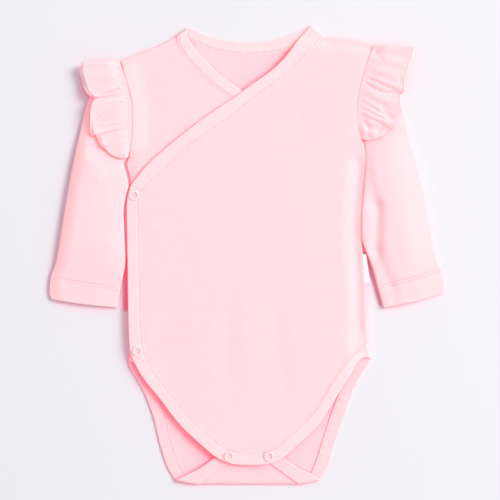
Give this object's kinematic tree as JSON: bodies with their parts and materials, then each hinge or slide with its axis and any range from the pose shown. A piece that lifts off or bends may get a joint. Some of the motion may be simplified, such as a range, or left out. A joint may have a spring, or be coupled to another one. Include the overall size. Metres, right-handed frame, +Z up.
{
  "type": "baby wrap bodysuit",
  "caption": "Long-sleeved wrap-front baby bodysuit in pale pink jersey with shoulder ruffles, bound edges and ring snaps, laid flat on its back.",
  "frame": {"origin": "on the surface the garment lies on, under the middle of its outline", "axes": "+X to the right of someone looking down at the front, +Y along the garment's length to the neck, +Z up from the surface"},
  "size_m": [0.3617, 0.4213, 0.0118],
  "materials": {
    "jersey": "pale pink cotton interlock, soft and matte",
    "binding": "the same jersey cut as a folded binding, cover-stitched",
    "snap": "pale ivory-pink enamelled ring, satin",
    "label": "white satin tape, blank"
  },
  "bodies": {
    "root": {"back_panel": "jersey", "under_front": "jersey", "wrap_front": "jersey", "sleeve_left": "jersey", "sleeve_right": "jersey", "ruffle_left": "jersey", "ruffle_right": "jersey", "back_neck_binding": "binding", "under_neck_binding": "binding", "wrap_neck_binding": "binding", "wrap_edge_binding": "binding", "back_leg_binding_left": "binding", "back_leg_binding_right": "binding", "snap_ring_1": "snap", "snap_ring_2": "snap", "snap_ring_3": "snap", "snap_ring_4": "snap", "snap_socket_1": "snap", "snap_socket_2": "snap", "snap_socket_3": "snap", "snap_socket_4": "snap", "side_label": "label"}
  },
  "joints": []
}
